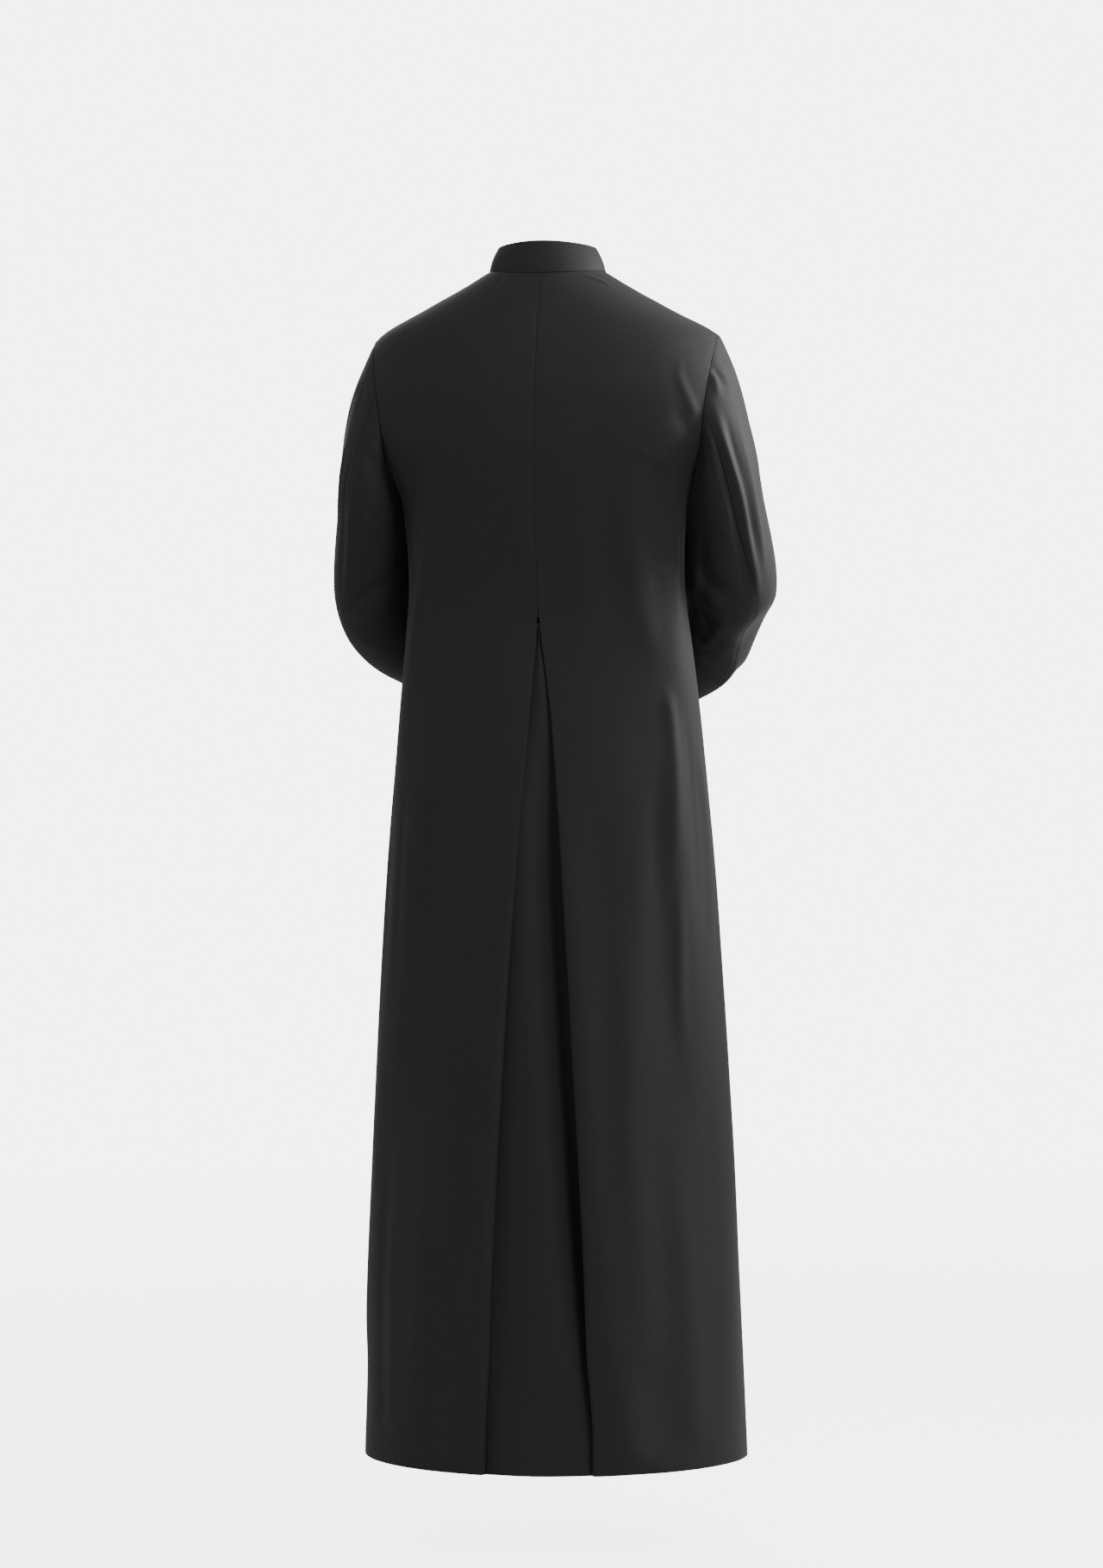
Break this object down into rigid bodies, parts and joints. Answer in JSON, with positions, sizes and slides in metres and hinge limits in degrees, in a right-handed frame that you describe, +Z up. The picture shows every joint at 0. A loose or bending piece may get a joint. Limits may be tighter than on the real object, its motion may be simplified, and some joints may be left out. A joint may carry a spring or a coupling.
{
  "type": "cassock",
  "caption": "Full-length black cassock as worn, hollow, arms bent forward: band collar, buttoned front, two-piece sleeves and an inverted pleat at the centre back.",
  "frame": {"origin": "middle of the neck opening at the height of the side neck, where the garment hangs on the wearer's shoulders", "axes": "+Z up, -Y towards the buttoned front, +X towards the wearer's left"},
  "size_m": [0.5656, 0.4537, 1.516],
  "materials": {
    "cloth": "matte fine twill",
    "buttons": "cloth-covered"
  },
  "bodies": {
    "root": {"back_left": "cloth", "back_right": "cloth", "front_left": "cloth", "front_right": "cloth", "collar": "cloth", "sleeve_top_left": "cloth", "sleeve_top_right": "cloth", "sleeve_under_left": "cloth", "sleeve_under_right": "cloth", "pleat_underlay": "cloth", "button_01": "buttons", "button_02": "buttons", "button_03": "buttons", "button_04": "buttons", "button_05": "buttons", "button_06": "buttons", "button_07": "buttons", "button_08": "buttons", "button_09": "buttons", "button_10": "buttons", "button_11": "buttons", "button_12": "buttons", "button_13": "buttons", "button_14": "buttons", "button_15": "buttons", "button_16": "buttons", "button_17": "buttons", "button_18": "buttons", "button_19": "buttons", "button_20": "buttons"}
  },
  "joints": []
}
